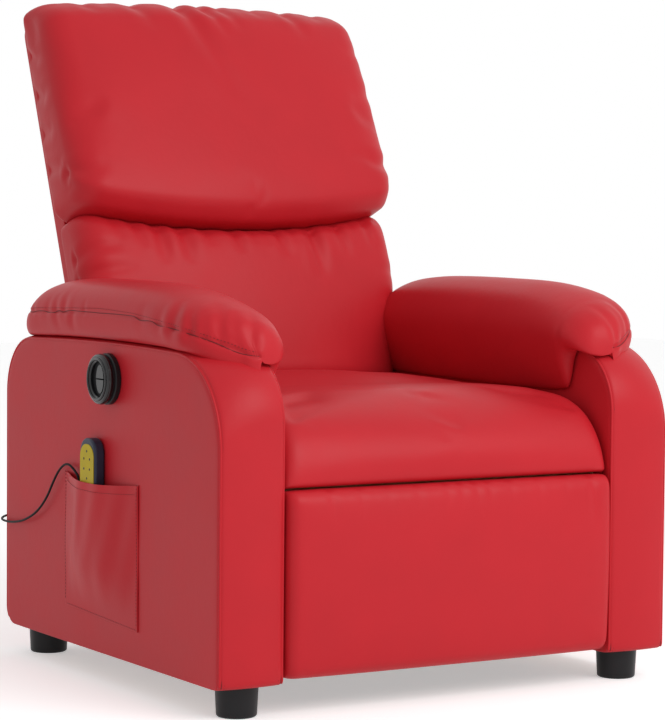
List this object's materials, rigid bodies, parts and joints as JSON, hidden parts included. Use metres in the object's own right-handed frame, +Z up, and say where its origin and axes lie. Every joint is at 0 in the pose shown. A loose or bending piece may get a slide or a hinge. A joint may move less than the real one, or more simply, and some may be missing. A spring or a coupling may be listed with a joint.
{
  "type": "massage recliner armchair",
  "caption": "Powered massage recliner armchair with padded arms, a fold-out footrest, a reclining two-cushion back and a corded hand control in a side pocket.",
  "frame": {"origin": "on the floor under the middle of the chair's overall box", "axes": "+Z up, the sitter faces -Y, +X to the right of a viewer in front of the chair"},
  "size_m": [0.8041, 0.9073, 1.0525],
  "materials": {
    "upholstery": "semi-gloss red faux leather with soft creases",
    "black_plastic": "satin black moulded plastic",
    "gloss_black": "glossy black",
    "timber": "bare pine and plywood",
    "dark_steel": "black powder coat",
    "bright_steel": "zinc plated",
    "aluminium_tube": "satin",
    "webbing": "woven elastic webbing",
    "handset_blue": "satin dark blue-grey",
    "keypad_lime": "matte yellow-green membrane",
    "cord_black": "smooth black sheath"
  },
  "bodies": {
    "base": {"arm_cover_left": "upholstery", "arm_pad_left": "upholstery", "arm_frame_left": "timber", "foot_front_left": "black_plastic", "foot_rear_left": "black_plastic", "mechanism_plate_left": "dark_steel", "arm_cover_right": "upholstery", "arm_pad_right": "upholstery", "arm_frame_right": "timber", "foot_front_right": "black_plastic", "foot_rear_right": "black_plastic", "mechanism_plate_right": "dark_steel", "seat_rails": "dark_steel", "base_pins": "bright_steel", "seat_board": "timber", "seat_straps": "webbing", "seat_cushion": "upholstery", "seat_vibrators": "black_plastic", "front_stretcher": "timber", "rear_rail": "timber", "rear_cover": "upholstery", "control_box": "black_plastic", "cord_gland": "black_plastic", "power_inlet": "black_plastic", "drive_cross_tube": "dark_steel", "actuator_tube": "aluminium_tube", "gearbox": "black_plastic", "drive_motor": "aluminium_tube", "switch_bezel": "black_plastic", "switch_ring": "gloss_black", "side_pocket": "upholstery", "control_cord": "cord_black"},
    "back": {"back_bracket_left": "dark_steel", "back_bracket_right": "dark_steel", "back_frame": "timber", "back_cover": "upholstery", "back_straps": "webbing", "head_cushion": "upholstery", "lumbar_cushion": "upholstery", "back_vibrators": "black_plastic", "recline_tube": "dark_steel"},
    "lift_bars": {"lift_links": "dark_steel", "lift_link_pins": "bright_steel", "torque_tube": "dark_steel"},
    "reach_bars": {"reach_links": "dark_steel", "reach_link_pins": "bright_steel"},
    "steer_bars": {"steer_links": "dark_steel"},
    "flip_bars": {"flip_links": "dark_steel"},
    "footrest": {"footrest_board": "timber", "footrest_cushion": "upholstery", "footrest_brackets": "dark_steel", "footrest_pins": "bright_steel"},
    "actuator_slider": {"actuator_rod": "bright_steel", "rod_clevis": "bright_steel"},
    "switch_up": {"switch_button_up": "gloss_black"},
    "switch_down": {"switch_button_down": "gloss_black"},
    "handset": {"handset_shell": "handset_blue", "handset_keypad": "keypad_lime", "strain_relief": "handset_blue"}
  },
  "joints": [
    {"name": "back_recline", "type": "hinge", "parent": "base", "child": "back", "pos_m": [0, 0.193, 0.34], "axis": [-1, 0, 0], "range_deg": [0, 35]},
    {"name": "footrest_lift", "type": "hinge", "parent": "base", "child": "lift_bars", "pos_m": [0, -0.336, 0.28], "axis": [-1, 0, 0], "range_deg": [0, 90.5]},
    {"name": "knee_turn", "type": "hinge", "parent": "lift_bars", "child": "reach_bars", "pos_m": [0, -0.23906, 0.12243], "axis": [-1, 0, 0], "range_deg": [-90.5, 0]},
    {"name": "footrest_turn", "type": "hinge", "parent": "reach_bars", "child": "footrest", "pos_m": [0, -0.36408, 0.24745], "axis": [-1, 0, 0], "range_deg": [0, 90.5]},
    {"name": "steer_turn", "type": "hinge", "parent": "base", "child": "steer_bars", "pos_m": [0, -0.29946, 0.26373], "axis": [-1, 0, 0], "range_deg": [0, 90.5]},
    {"name": "flip_turn", "type": "hinge", "parent": "lift_bars", "child": "flip_bars", "pos_m": [0, -0.23781, 0.07745], "axis": [-1, 0, 0], "range_deg": [-90.5, 0]},
    {"name": "actuator_stroke", "type": "slide", "parent": "base", "child": "actuator_slider", "axis": [0, 1, 0], "range_m": [-0.0425, 0]},
    {"name": "up_button_press", "type": "slide", "parent": "base", "child": "switch_up", "axis": [1, 0, 0], "range_m": [0, 0.0015], "stiffness_N_per_m": 600, "springref_m": -0.0005},
    {"name": "down_button_press", "type": "slide", "parent": "base", "child": "switch_down", "axis": [1, 0, 0], "range_m": [0, 0.0015], "stiffness_N_per_m": 600, "springref_m": -0.0005},
    {"name": "handset_lift", "type": "slide", "parent": "base", "child": "handset", "axis": [0, 0, 1], "range_m": [0, 0.045], "deforming": ["control_cord"]}
  ],
  "couplings": [
    {"joint": "footrest_lift", "follows": "back_recline", "ratio": 2.5714},
    {"joint": "knee_turn", "follows": "back_recline", "ratio": -2.5714},
    {"joint": "footrest_turn", "follows": "back_recline", "ratio": 2.5714},
    {"joint": "steer_turn", "follows": "back_recline", "ratio": 2.5714},
    {"joint": "flip_turn", "follows": "back_recline", "ratio": -2.5714},
    {"joint": "actuator_stroke", "follows": "back_recline", "m_per_rad": -0.068917}
  ]
}
